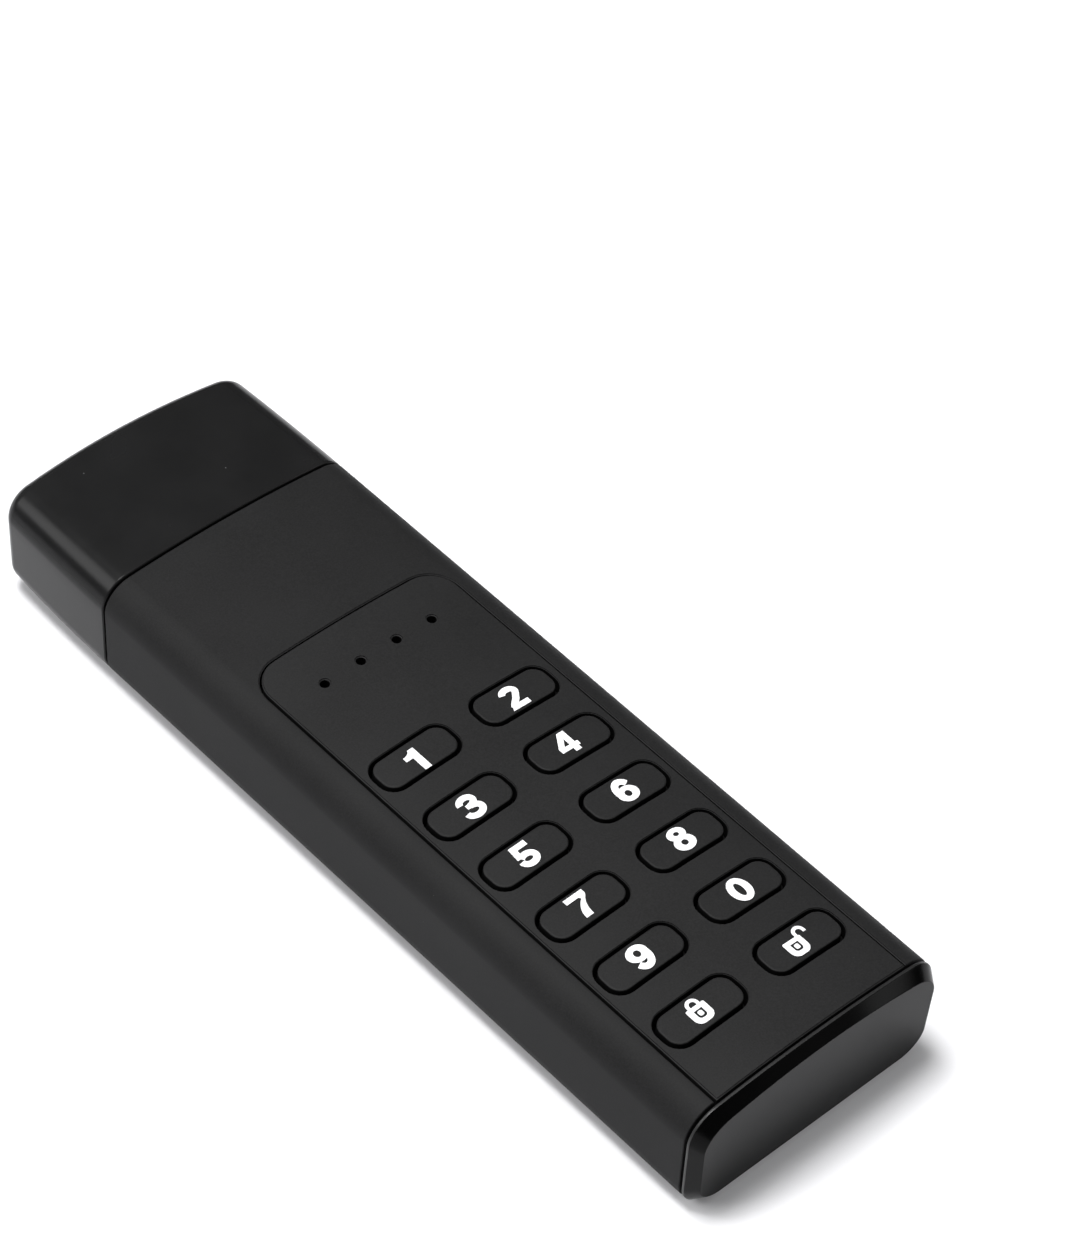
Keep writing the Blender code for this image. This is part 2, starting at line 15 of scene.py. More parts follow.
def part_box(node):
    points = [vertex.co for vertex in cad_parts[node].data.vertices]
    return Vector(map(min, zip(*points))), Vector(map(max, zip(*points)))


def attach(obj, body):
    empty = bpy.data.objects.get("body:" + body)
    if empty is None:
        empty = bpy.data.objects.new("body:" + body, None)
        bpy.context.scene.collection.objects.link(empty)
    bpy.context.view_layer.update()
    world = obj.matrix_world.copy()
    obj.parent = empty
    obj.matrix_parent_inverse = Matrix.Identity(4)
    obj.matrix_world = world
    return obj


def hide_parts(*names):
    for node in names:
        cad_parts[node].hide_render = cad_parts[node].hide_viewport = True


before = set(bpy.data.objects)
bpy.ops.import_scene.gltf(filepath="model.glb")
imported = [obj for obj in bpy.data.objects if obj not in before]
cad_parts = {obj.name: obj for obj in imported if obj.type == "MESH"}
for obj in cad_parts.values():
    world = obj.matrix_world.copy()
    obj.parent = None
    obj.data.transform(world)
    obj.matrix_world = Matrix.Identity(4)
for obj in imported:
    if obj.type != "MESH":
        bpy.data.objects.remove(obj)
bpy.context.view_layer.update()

MM = 0.001


def box_mm(node):
    """A CAD node's lowest and highest corners, in millimetres."""
    low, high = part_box(node)
    return Vector(low) / MM, Vector(high) / MM


SLEEVE_LOW, SLEEVE_HIGH = box_mm("housing_sleeve")
PANEL_LOW, PANEL_HIGH = box_mm("keypad_panel")
TAIL_LOW, TAIL_HIGH = box_mm("tail_cap")
NOSE_LOW, NOSE_HIGH = box_mm("nose_collar")
CAP_LOW, CAP_HIGH = box_mm("cap_shell")
LINER_LOW, LINER_HIGH = box_mm("cap_liner")
PLUG_LOW, PLUG_HIGH = box_mm("plug_shell")

# The body, from the frame
WIDTH = SLEEVE_HIGH.x - SLEEVE_LOW.x
THICKNESS = SLEEVE_HIGH.z
TAIL_Y = TAIL_LOW.y
TIP_Y = CAP_HIGH.y
TAIL_SEAM_Y = SLEEVE_LOW.y
SPLIT_Y = SLEEVE_HIGH.y
PLUG_MIDDLE_Z = (PLUG_LOW.z + PLUG_HIGH.z) / 2

# The body's form, as the CAD has it
GAP = 0.3
CROWN = 0.0038  # the top falls by this times the square of the distance from the middle line
TOP_RADIUS = 3.2
BOTTOM_RADIUS = 2.9
DRAFT = 0.2
WALL = 1.5
BEZEL = 1.2  # how far the tail's chamfer runs, and how far it moves in at the bottom
BEZEL_SIDE = 0.75
BEZEL_MIDDLE = 0.35
PANEL_RADIUS = 3.0
PANEL_FRONT_SHIFT = 0.14  # the seam is finer in front and on the right
PANEL_RIGHT_SHIFT = 0.18
CAP_WALL = 1.1
CAP_BULGE = 0.7
CAP_EDGE = 1.6
CAP_NARROWING = 0.35
CAP_RISE = 0.7
CAP_FALL = 0.2

# Keys
KEY_ROWS = (("1", "2"), ("3", "4"), ("5", "6"), ("7", "8"), ("9", "0"), ("lock", "unlock"))
KEY_WIDTH = 8.6
KEY_HEIGHT = 3.7
KEY_RADIUS = 1.4
KEY_CLEARANCE = 0.35
KEY_PROUD = 0.05
KEY_EDGE = 0.12
KEY_DRAFT = 0.07  # how far a key's side draws in above its flange
KEY_FLAT_INSET = 0.08  # how far inside the eased edge the flat top's first ring lies
FLANGE_SIZE = 0.6
STEM_SIZE = 2.0
STEM_RADIUS = 0.999  # just short of half the stem, so its corners stay apart
LIGHT_RADIUS = 0.48

# Plug
PLUG_WALL = 0.3
PLUG_CORNER = 0.6
WINDOW_WIDTH = 2.5
WINDOW_LENGTH = 1.95
WINDOW_X = 3.25
WINDOW_SETBACK = 5.16

# Fine edges
EDGE = 0.12
EDGE_STEPS = 3

# Steps round the body's section
TOP_STEPS = 20
ARC_STEPS = 12
FLANK_STEPS = 5
BOTTOM_STEPS = 12

# Meshes
WELD = 0.0005
SLIVER = 0.0001
SHARP_ANGLE = 38
UPRIGHT = 0.3  # a face whose normal rises less than this is a side, and more is a top


# -------- outlines


def arc(centre, radius, start, end, steps):
    """Points on a circle, or on an ellipse with a pair of radii, between two angles in degrees."""
    across, up = radius if isinstance(radius, tuple) else (radius, radius)
    points = []
    for step in range(steps + 1):
        angle = math.radians(start + (end - start) * step / steps)
        points.append((centre[0] + across * math.cos(angle), centre[1] + up * math.sin(angle)))
    return points


def ellipse(centre, across, up, steps=36):
    return arc(centre, (across, up), 0, 360 - 360 / steps, steps - 1)


def between(start, end, steps):
    """Points on a straight run, without its two ends."""
    return [
        (start[0] + (end[0] - start[0]) * step / steps, start[1] + (end[1] - start[1]) * step / steps)
        for step in range(1, steps)
    ]


def rounded_rectangle(width, height, radius, centre=(0.0, 0.0), steps=6, runs=(1, 1)):
    """Anticlockwise from the right-hand side, with its straight sides split into runs."""
    x, y = width / 2 - radius, height / 2 - radius
    corners = ((1, 1, 0), (-1, 1, 90), (-1, -1, 180), (1, -1, 270))
    pieces = [
        arc((centre[0] + sx * x, centre[1] + sy * y), radius, start, start + 90, steps)
        for sx, sy, start in corners
    ]
    points = []
    for index, piece in enumerate(pieces):
        following = pieces[(index + 1) % 4]
        points += piece + between(piece[-1], following[0], runs[index % 2])
    return points


def quarter(edge, steps=EDGE_STEPS):
    """A rounded edge, from the face that it starts on: (distance in from the side, distance along)."""
    turn = []
    for step in range(steps + 1):
        angle = math.radians(90 * step / steps)
        turn.append((edge * (1 - math.sin(angle)), edge * (1 - math.cos(angle))))
    return turn


def top_z(x, inset=0.0):
    return THICKNESS - inset - CROWN * x * x


def half_section(inset=0.0, start=0.0, top_steps=TOP_STEPS):
    """The body's right-hand outline across X and Z, from the top at x = start to the bottom's middle."""
    half = WIDTH / 2 - inset
    radius = max(TOP_RADIUS - inset, 0.5)
    low_radius = max(BOTTOM_RADIUS - inset, 0.5)
    centre_x = half - radius
    slope = 0.0
    for _ in range(4):
        slope = math.atan(2 * CROWN * (centre_x + radius * math.sin(slope)))
    join_x = centre_x + radius * math.sin(slope)
    centre_z = top_z(join_x, inset) - radius * math.cos(slope)
    low_centre = (half - DRAFT - low_radius, inset + low_radius)
    points = [
        (x, top_z(x, inset))
        for x in (start + (join_x - start) * step / top_steps for step in range(top_steps))
    ]
    points += arc((centre_x, centre_z), radius, 90 - math.degrees(slope), 0, ARC_STEPS)
    points += between(points[-1], (low_centre[0] + low_radius, low_centre[1]), FLANK_STEPS)
    points += arc(low_centre, low_radius, 0, -90, ARC_STEPS)
    points += between(points[-1], (0.0, inset), BOTTOM_STEPS)
    return points + [(0.0, inset)]


def full_section(inset=0.0, highest=None):
    """The whole closed outline, flattened at a highest place if there is one."""
    right = half_section(inset)
    points = right + [(-x, z) for x, z in reversed(right[1:-1])]
    if highest is None:
        return points
    return [(x, min(z, highest)) for x, z in points]


def open_section(inset, start):
    """The outline without its top: from x = start on the right, under the body, to the left."""
    right = half_section(inset, start, 2)
    return right + [(-x, z) for x, z in reversed(right[:-1])]


# -------- meshes


def sheet(shape, rows, closed=False):
    """Quads between rows of equally many points. A closed sheet joins each row's end to its start."""
    made = [[shape.verts.new(point) for point in row] for row in rows]
    for near, far in zip(made, made[1:]):
        count = len(near)
        for index in range(count if closed else count - 1):
            following = (index + 1) % count
            shape.faces.new((near[index], near[following], far[following], far[index]))


def fan(shape, ring, apex):
    """Closes a ring on a point."""
    corners = [shape.verts.new(point) for point in ring]
    tip = shape.verts.new(apex)
    for index, corner in enumerate(corners):
        shape.faces.new((corner, corners[(index + 1) % len(corners)], tip))


def polygon(shape, points):
    shape.faces.new([shape.verts.new(point) for point in points])


def anticlockwise(outline):
    """The outline, turned round if it runs clockwise."""
    following = outline[1:] + outline[:1]
    area = sum(x0 * y1 - x1 * y0 for (x0, y0), (x1, y1) in zip(outline, following))
    return outline if area > 0 else outline[::-1]


def region(adds, cuts=(), inner=()):
    """Triangles that cover the outlines in adds and leave out those in cuts: (points, triangles)."""
    coordinates, faces = [], []
    for outline in list(adds) + list(cuts):
        faces.append(list(range(len(coordinates), len(coordinates) + len(outline))))
        coordinates += anticlockwise(outline)
    coordinates += inner
    made = delaunay_2d_cdt([Vector(point) for point in coordinates], [], faces, 1, 1e-5)
    points, triangles, sources = made[0], made[2], made[5]
    first_cut = len(adds)
    kept = [
        triangle
        for triangle, source in zip(triangles, sources)
        if source and max(source) < first_cut
    ]
    return points, kept


def fill(shape, place, adds, cuts=(), inner=()):
    """Fills a region, with place turning each of its points into one in the frame."""
    points, triangles = region(adds, cuts, inner)
    used = {}
    for triangle in triangles:
        for index in triangle:
            if index not in used:
                used[index] = shape.verts.new(place(points[index][0], points[index][1]))
        shape.faces.new([used[index] for index in triangle])


def lattice(low, high, spacing):
    """Points in rows over a rectangle in plan."""
    columns = int((high[0] - low[0]) / spacing)
    rows = int((high[1] - low[1]) / spacing)
    return [
        (low[0] + spacing * (column + 0.5), low[1] + spacing * (row + 0.5))
        for column in range(columns)
        for row in range(rows)
    ]


def add_object(name, data):
    made = bpy.data.objects.new(name, data)
    bpy.context.scene.collection.objects.link(made)
    return made


def make_object(name, shape):
    """Welds a shape and makes it an object, in metres, with its faces out and its shading smooth."""
    bmesh.ops.remove_doubles(shape, verts=shape.verts, dist=WELD)
    bmesh.ops.dissolve_degenerate(shape, edges=shape.edges, dist=SLIVER)
    bmesh.ops.recalc_face_normals(shape, faces=shape.faces)
    bmesh.ops.scale(shape, vec=(MM, MM, MM), verts=shape.verts)
    mesh = bpy.data.meshes.new(name)
    shape.to_mesh(mesh)
    shape.free()
    made = add_object(name, mesh)
    mesh.shade_smooth()
    mesh.set_sharp_from_angle(angle=math.radians(SHARP_ANGLE))
    weighted = made.modifiers.new("even_normals", "WEIGHTED_NORMAL")
    weighted.keep_sharp = True
    return made


def make_piece(name, shape, material, body, nodes=()):
    """A finished piece: it rides on a body, takes a finish from a slot, and stands for CAD nodes."""
    made = make_object(name, shape)
    made.data.materials.append(material)
    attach(made, body)
    if nodes:
        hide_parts(*nodes)
    return made


# -------- materials


def map_range(tree, source, start, end, low, high):
    """A value mapped from one range to another, and held inside it."""
    made = tree.nodes.new("ShaderNodeMapRange")
    for name, value in (("From Min", start), ("From Max", end), ("To Min", low), ("To Max", high)):
        made.inputs[name].default_value = value
    tree.links.new(source, made.inputs["Value"])
    return made.outputs["Result"]


class Surface:
    """A Principled material and the nodes that feed it, in the piece's own coordinates."""

    def __init__(self, name):
        self.material = bpy.data.materials.new(name)
        self.material.use_nodes = True
        self.tree = self.material.node_tree
        self.shader = self.tree.nodes["Principled BSDF"]
        self.place = self.tree.nodes.new("ShaderNodeTexCoord").outputs["Object"]
        self.normal = None

    def node(self, kind, **settings):
        made = self.tree.nodes.new(kind)
        for name, value in settings.items():
            setattr(made, name, value)
        return made

    def link(self, source, target):
        self.tree.links.new(source, target)

    def set(self, **values):
        """Sets the shader's own sockets, named with _ for each space."""
        for name, value in values.items():
            self.shader.inputs[name.replace("_", " ")].default_value = value

    def stretched(self, scale):
        """The coordinates, scaled by different amounts along X, Y and Z."""
        mapping = self.node("ShaderNodeMapping")
        mapping.inputs["Scale"].default_value = scale
        self.link(self.place, mapping.inputs["Vector"])
        return mapping.outputs["Vector"]

    def noise(self, scale, detail=2.0, where=None):
        made = self.node("ShaderNodeTexNoise")
        made.inputs["Scale"].default_value = scale
        made.inputs["Detail"].default_value = detail
        self.link(where or self.place, made.inputs["Vector"])
        return made.outputs["Fac"]

    def ranged(self, *values):
        return map_range(self.tree, *values)

    def blend(self, factor, first, second):
        """A colour between two colours or sockets."""
        made = self.node("ShaderNodeMix", data_type="RGBA")
        self.link(factor, made.inputs["Factor"])
        for value, socket in ((first, made.inputs[6]), (second, made.inputs[7])):
            if isinstance(value, tuple):
                socket.default_value = (*value, 1.0)
            else:
                self.link(value, socket)
        return made.outputs[2]

    def specks(self, spacing, size):
        """One where a sparse grain of dust lies, and nought elsewhere."""
        cells = self.node("ShaderNodeTexVoronoi")
        cells.inputs["Scale"].default_value = 1 / spacing
        self.link(self.place, cells.inputs["Vector"])
        reach = size / spacing
        return self.ranged(cells.outputs["Distance"], 0.4 * reach, reach, 1.0, 0.0)

    def bump(self, height, depth):
        """Adds relief of a depth in metres on top of any relief so far."""
        made = self.node("ShaderNodeBump")
        made.inputs["Distance"].default_value = depth
        self.link(height, made.inputs["Height"])
        if self.normal:
            self.link(self.normal, made.inputs["Normal"])
        self.normal = made.outputs["Normal"]
        self.link(self.normal, self.shader.inputs["Normal"])

    def paint(self, source):
        self.link(source, self.shader.inputs["Base Color"])

    def roughen(self, source, low, high):
        """A roughness that varies with a noise, between two values."""
        self.link(self.ranged(source, 0.3, 0.7, low, high), self.shader.inputs["Roughness"])


def grey(value):
    return (value, value, value * 1.02)


def textured_plastic(name, dark, light, rough, grain, relief, specular=0.4):
    """Moulded plastic with a fine spark-eroded grain, a slow drift of tone and a few dust specks."""
    surface = Surface(name)
    surface.set(Specular_IOR_Level=specular)
    drift = surface.noise(90.0, 3.0)
    fine = surface.noise(1 / grain, 2.0)
    tone = surface.blend(surface.ranged(drift, 0.3, 0.7, 0.0, 1.0), grey(dark), grey(light))
    mottled = surface.blend(surface.ranged(fine, 0.35, 0.75, 0.0, 0.35), tone, grey(light * 2.2))
    surface.paint(surface.blend(surface.specks(0.0034, 0.00006), mottled, grey(0.06)))
    surface.roughen(fine, rough - 0.05, rough + 0.05)
    surface.bump(fine, relief)
    return surface.material


def gloss_plastic(name, tone, rough, specular):
    """Polished black plastic, with faint smears, hairline scratches and dust."""
    surface = Surface(name)
    surface.set(Specular_IOR_Level=specular)
    smear = surface.noise(160.0, 4.0)
    hair = surface.noise(60.0, 3.0, surface.stretched((40.0, 1.6, 40.0)))
    scratched = surface.ranged(hair, 0.66, 0.72, 0.0, 1.0)
    base = surface.blend(surface.ranged(smear, 0.35, 0.65, 0.0, 1.0), grey(tone), grey(tone * 1.2))
    surface.paint(surface.blend(surface.specks(0.0036, 0.00008), base, grey(0.12)))
    surface.roughen(smear, rough * 0.9, rough * 1.15)
    surface.bump(surface.noise(35.0, 1.0), 0.00006)
    surface.bump(scratched, 0.000002)
    return surface.material


def plug_steel():
    """Drawn and plated steel: lines along the plug, cloudy tone and a few rubbed marks."""
    surface = Surface("plug_steel")
    surface.set(Metallic=0.75)
    lines = surface.noise(220.0, 3.0, surface.stretched((30.0, 0.8, 30.0)))
    cloud = surface.noise(260.0, 4.0)
    rubbed = surface.ranged(surface.noise(700.0, 5.0), 0.56, 0.72, 0.0, 1.0)
    base = surface.blend(surface.ranged(cloud, 0.3, 0.7, 0.0, 1.0), (0.62, 0.62, 0.61), (0.70, 0.70, 0.69))
    surface.paint(surface.blend(surface.ranged(rubbed, 0.0, 1.0, 0.0, 0.45), base, (0.52, 0.52, 0.51)))
    surface.roughen(lines, 0.42, 0.50)
    surface.bump(lines, 0.0000008)
    surface.bump(rubbed, 0.000002)
    return surface.material


def bright_metal(name, dark, light, rough):
    """A small plated part, with a fine streaked grain."""
    surface = Surface(name)
    surface.set(Metallic=1.0)
    streaks = surface.noise(400.0, 3.0, surface.stretched((6.0, 1.0, 6.0)))
    surface.paint(surface.blend(surface.ranged(streaks, 0.3, 0.7, 0.0, 1.0), dark, light))
    surface.roughen(streaks, rough - 0.06, rough + 0.08)
    surface.bump(streaks, 0.000003)
    return surface.material


def white_ink():
    """Pad-printed white ink, a little uneven in cover."""
    surface = Surface("white_ink")
    cover = surface.noise(5200.0, 2.0)
    surface.paint(surface.blend(surface.ranged(cover, 0.3, 0.6, 0.0, 1.0), grey(0.80), grey(0.93)))
    surface.roughen(cover, 0.5, 0.62)
    surface.bump(cover, 0.000004)
    return surface.material


def board_green():
    """Solder mask with a hint of copper tracks under it."""
    surface = Surface("board_green")
    tracks = surface.node("ShaderNodeTexBrick")
    tracks.inputs["Scale"].default_value = 420.0
    tracks.inputs["Mortar Size"].default_value = 0.06
    tracks.inputs["Color1"].default_value = (0.006, 0.070, 0.030, 1.0)
    tracks.inputs["Color2"].default_value = (0.008, 0.090, 0.036, 1.0)
    tracks.inputs["Mortar"].default_value = (0.020, 0.170, 0.065, 1.0)
    surface.link(surface.place, tracks.inputs["Vector"])
    surface.paint(tracks.outputs["Color"])
    cloud = surface.noise(300.0, 2.0)
    surface.roughen(cloud, 0.28, 0.42)
    surface.bump(tracks.outputs["Fac"], 0.00002)
    return surface.material


def clear_plastic(name, dark, light, rough):
    """Smoked clear plastic, which lets a little light through."""
    surface = Surface(name)
    surface.set(Transmission_Weight=0.6, IOR=1.49)
    flow = surface.noise(500.0, 2.0)
    surface.paint(surface.blend(surface.ranged(flow, 0.3, 0.7, 0.0, 1.0), dark, light))
    surface.roughen(flow, rough, rough + 0.1)
    return surface.material


def make_materials():
    grain = 0.00016
    return {
        "housing": textured_plastic("housing_plastic", 0.009, 0.012, 0.60, grain, 0.000006, 0.105),
        "panel": textured_plastic("panel_plastic", 0.009, 0.012, 0.55, grain, 0.000005, 0.135),
        "key": textured_plastic("key_plastic", 0.009, 0.012, 0.52, grain, 0.000005, 0.135),
        # painted shade: a near-black, barely glossy copy of the black plastic, for the key openings' walls
        # and the keys' sides, which lie in shade
        "painted_shade": textured_plastic("painted_shade_plastic", 0.003, 0.004, 0.70, grain, 0.000004, 0.05),
        "nose": textured_plastic("nose_plastic", 0.012, 0.015, 0.42, grain, 0.000004, 0.25),
        "liner": textured_plastic("liner_plastic", 0.014, 0.018, 0.60, grain, 0.000006, 0.25),
        "frame": textured_plastic("frame_plastic", 0.016, 0.022, 0.60, grain, 0.000006, 0.3),
        "tongue": textured_plastic("tongue_plastic", 0.014, 0.018, 0.40, grain, 0.000003),
        "package": textured_plastic("chip_package", 0.016, 0.024, 0.50, 0.00012, 0.000005),
        "cap_gloss": gloss_plastic("cap_gloss_plastic", 0.008, 0.24, 0.135),
        "tail_gloss": gloss_plastic("tail_gloss_plastic", 0.0010, 0.20, 0.080),
        "tail_side": textured_plastic("tail_side_plastic", 0.010, 0.013, 0.40, grain, 0.000004, 0.3),
        "plug": plug_steel(),
        "switch": bright_metal("switch_steel", (0.62, 0.62, 0.60), (0.76, 0.76, 0.74), 0.34),
        "screw": bright_metal("screw_steel", (0.66, 0.66, 0.65), (0.80, 0.80, 0.79), 0.28),
        "crystal": bright_metal("crystal_can", (0.72, 0.71, 0.68), (0.82, 0.81, 0.79), 0.30),
        "gold": bright_metal("contact_gold", (0.84, 0.72, 0.48), (0.93, 0.84, 0.62), 0.36),
        "ink": white_ink(),
        "board": board_green(),
        "light": clear_plastic("status_light_lens", (0.25, 0.26, 0.27), (0.33, 0.34, 0.35), 0.25),
        "guide": clear_plastic("clear_plastic", (0.05, 0.05, 0.055), (0.08, 0.08, 0.085), 0.15),
    }


# -------- housing


def window_outline(grow):
    """The top window in plan, from its right-hand corner round the front to the left-hand one."""
    half = PANEL_HIGH.x + GAP
    radius = PANEL_RADIUS + GAP
    corner_y = PANEL_HIGH.y + GAP - radius
    right = arc((half - radius, corner_y), radius + grow, 0, 90, 10)
    left = arc((radius - half, corner_y), radius + grow, 90, 180, 10)
    return right + between(right[-1], left[0], 20) + left


def make_sleeve(materials):
    """The sleeve: a tube with a wall, whose top is open for the panel from the tail to its front."""
    shape = bmesh.new()
    half = PANEL_HIGH.x + GAP
    corner_y = window_outline(0.0)[0][1]
    turn = quarter(EDGE)
    tail = [(TAIL_SEAM_Y + along, away) for away, along in turn]
    flat = [(TAIL_SEAM_Y + (corner_y - TAIL_SEAM_Y) * share, 0.0) for share in (0.25, 0.5, 0.75, 1.0)]
    steps = 6
    reach = SPLIT_Y - EDGE - corner_y
    front = [(corner_y + reach * step / steps, 0.0) for step in range(1, steps + 1)]
    nose = [(SPLIT_Y - along, away) for away, along in reversed(turn)][1:]

    def band(y, inset, start):
        return [(x, y, z) for x, z in open_section(inset, start)]

    # Outside, under the window's edges and round the ends
    sheet(shape, [band(y, inset, half + EDGE) for y, inset in tail + flat + front + nose])
    # Outside, in front of the window
    rim = window_outline(EDGE)
    rows = []
    for step in range(steps + 1):
        share = step / steps
        rows.append([(x, y + (SPLIT_Y - EDGE - y) * share, top_z(x)) for x, y in rim])
    rows += [[(x, y, top_z(x, inset)) for x, _ in rim] for y, inset in nose]
    sheet(shape, rows)
    # Inside
    inner = window_outline(0.0)
    inner_y = [TAIL_SEAM_Y, corner_y, SPLIT_Y]
    sheet(shape, [band(y, WALL, half) for y in inner_y])
    sheet(
        shape,
        [
            [(x, y, top_z(x, WALL)) for x, y in inner],
            [(x, SPLIT_Y, top_z(x, WALL)) for x, _ in inner],
        ],
    )
    # The window's edge
    edges = []
    stations = tail + flat
    for away, along in reversed(turn):
        grow = EDGE - along
        drop = EDGE - away
        right = [(half + grow, y, top_z(half + grow, inset) - drop) for y, inset in stations]
        middle = [(x, y, top_z(x) - drop) for x, y in window_outline(grow)[1:-1]]
        left = [(-x, y, z) for x, y, z in reversed(right)]
        edges.append(right + middle + left)
    right = [(half, y, top_z(half, WALL)) for y, _ in stations]
    middle = [(x, y, top_z(x, WALL)) for x, y in inner[1:-1]]
    edges.append(right + middle + [(-x, y, z) for x, y, z in reversed(right)])
    sheet(shape, edges)
    # End faces
    for y in (TAIL_SEAM_Y, SPLIT_Y):
        sheet(shape, [band(y, EDGE, half + EDGE), band(y, WALL, half)])
    sheet(
        shape,
        [
            [(x, SPLIT_Y, top_z(x, EDGE)) for x, _ in rim],
            [(x, SPLIT_Y, top_z(x, WALL)) for x, _ in inner],
        ],
    )
    for end in (0, -1):
        polygon(shape, [row[end] for row in edges])
    make_piece("sleeve", shape, materials["housing"], "housing", ["housing_sleeve"])


def key_places():
    """Each key's name and its middle in plan."""
    for names in KEY_ROWS:
        for name in names:
            low, high = box_mm("key_" + name)
            yield name, (low.x + high.x) / 2, (low.y + high.y) / 2


def light_places():
    for number in range(1, 5):
        low, high = box_mm("status_light_%d" % number)
        yield (low.x + high.x) / 2, (low.y + high.y) / 2


def panel_outline(grow):
    """The panel in plan, anticlockwise from its tail's left-hand corner."""
    half = PANEL_HIGH.x + grow
    radius = PANEL_RADIUS + grow
    corner_y = PANEL_HIGH.y + PANEL_FRONT_SHIFT + grow - radius
    tail_y = PANEL_LOW.y - grow
    low_left, low_right = (-half, tail_y), (half + PANEL_RIGHT_SHIFT, tail_y)
    right = arc((low_right[0] - radius, corner_y), radius, 0, 90, 10)
    left = arc((radius - half, corner_y), radius, 90, 180, 10)
    points = [low_left] + between(low_left, low_right, 20) + [low_right]
    points += between(low_right, right[0], 50) + right
    points += between(right[-1], left[0], 16) + left
    return points + between(left[-1], low_left, 50)


def key_outline(place, grow):
    """A key's outline in plan, grown or shrunk all round."""
    return rounded_rectangle(
        KEY_WIDTH + 2 * grow, KEY_HEIGHT + 2 * grow, KEY_RADIUS + grow, place, 6, (7, 2)
    )


def make_panel(materials):
    """The crowned panel, with rounded edges round its rim, its key openings and its light holes."""
    shape = bmesh.new()
    openings = [
        lambda grow, place=(x, y): key_outline(place, KEY_CLEARANCE + grow / 2)
        for _, x, y in key_places()
    ]
    openings += [
        lambda grow, place=place: ellipse(place, LIGHT_RADIUS + grow, LIGHT_RADIUS + grow, 24)
        for place in light_places()
    ]
    bottom = PANEL_LOW.z

    def on_top(x, y):
        return (x, y, top_z(x))

    def under(x, y):
        return (x, y, bottom)

    spacing = 0.9
    margin = 0.5
    low = (-PANEL_HIGH.x + margin, PANEL_LOW.y + margin)
    high = (PANEL_HIGH.x - margin, PANEL_HIGH.y - margin)
    inner = lattice(low, high, spacing)
    fill(shape, on_top, [panel_outline(-EDGE)], [opening(EDGE) for opening in openings], inner)
    fill(shape, under, [panel_outline(0.0)], [opening(0.0) for opening in openings])
    turn = list(reversed(quarter(EDGE)))
    for outline, sign in [(panel_outline, -1)] + [(opening, 1) for opening in openings]:
        rows = []
        for away, along in turn:
            ring = outline(sign * (EDGE - along))
            rows.append([(x, y, top_z(x) - (EDGE - away)) for x, y in ring])
        rows.append([(x, y, bottom) for x, y in outline(0.0)])
        sheet(shape, rows, closed=True)
    made = make_piece("panel", shape, materials["panel"], "housing", ["keypad_panel"])
    # The upright walls of the key openings and light holes take the painted shade material, near-black
    # where they lie in shade.
    made.data.materials.append(materials["painted_shade"])
    rim = 0.3
    for face in made.data.polygons:
        off_side = abs(face.center.x / MM) < PANEL_HIGH.x - rim
        off_tail = face.center.y / MM > PANEL_LOW.y + rim
        face.material_index = 1 if off_side and off_tail and abs(face.normal.z) < UPRIGHT else 0


def make_key(name, x, y, materials):
    """A key: its stem, the flange that stops it under the panel, and its crowned and eased cap."""
    low, high = box_mm("key_" + name)
    flange_high = PANEL_LOW.z - GAP
    flange_low = flange_high - FLANGE_SIZE
    flange_grow = (high.x - low.x - KEY_WIDTH) / 2
    place = (x, y)

    def ring(outline, height):
        return [(u, v, height) for u, v in outline]

    def crowned(outline, drop):
        return [(u, v, top_z(u) + KEY_PROUD - drop) for u, v in outline]

    stem = rounded_rectangle(STEM_SIZE, STEM_SIZE, STEM_RADIUS, place, 6, (7, 2))
    flange = rounded_rectangle(
        KEY_WIDTH + 2 * flange_grow, KEY_HEIGHT + 2 * flange_grow, KEY_RADIUS, place, 6, (7, 2)
    )
    rows = [
        ring(stem, low.z),
        ring(stem, flange_low),
        ring(flange, flange_low),
        ring(flange, flange_high),
        ring(key_outline(place, 0.0), flange_high),
    ]
    rows += [
        crowned(key_outline(place, -KEY_DRAFT - away), drop)
        for away, drop in reversed(quarter(KEY_EDGE, 5))
    ]
    flat = key_outline(place, -KEY_DRAFT - KEY_EDGE - KEY_FLAT_INSET)
    for share in (1.0, 0.8, 0.6, 0.4, 0.2):
        rows.append(crowned([(x + (u - x) * share, y + (v - y) * share) for u, v in flat], 0.0))
    shape = bmesh.new()
    sheet(shape, rows, closed=True)
    fan(shape, rows[-1], (x, y, top_z(x) + KEY_PROUD))
    polygon(shape, rows[0])
    key = "key_" + name
    made = make_piece(key + "_cap", shape, materials["key"], key + "_body", [key])
    # Every face of the key but its top, meaning its sides, flange and stem, takes the painted shade
    # material, near-black as if in shade.
    made.data.materials.append(materials["painted_shade"])
    for face in made.data.polygons:
        on_top = face.normal.z > UPRIGHT and face.center.z / MM > PANEL_LOW.z
        face.material_index = 0 if on_top else 1


# -------- legends

STROKE = 0.33  # half the width of a stroke
SHACKLE_STROKE = 0.17
SHACKLE_RADIUS = 0.52
INK = 0.02
LEGEND_SHIFTS = {  # the print sits a little off the middle of its key
    "1": (-0.27, -0.35),
    "2": (-0.30, -0.12),
    "3": (0.0, -0.12),
    "4": (-0.32, 0.12),
    "5": (0.0, 0.05),
    "6": (0.0, 0.05),
    "7": (0.0, 0.12),
    "8": (0.0, 0.12),
    "9": (0.0, 0.02),
    "0": (0.0, 0.02),
    "lock": (-0.18, 0.10),
    "unlock": (0.0, 0.04),
}


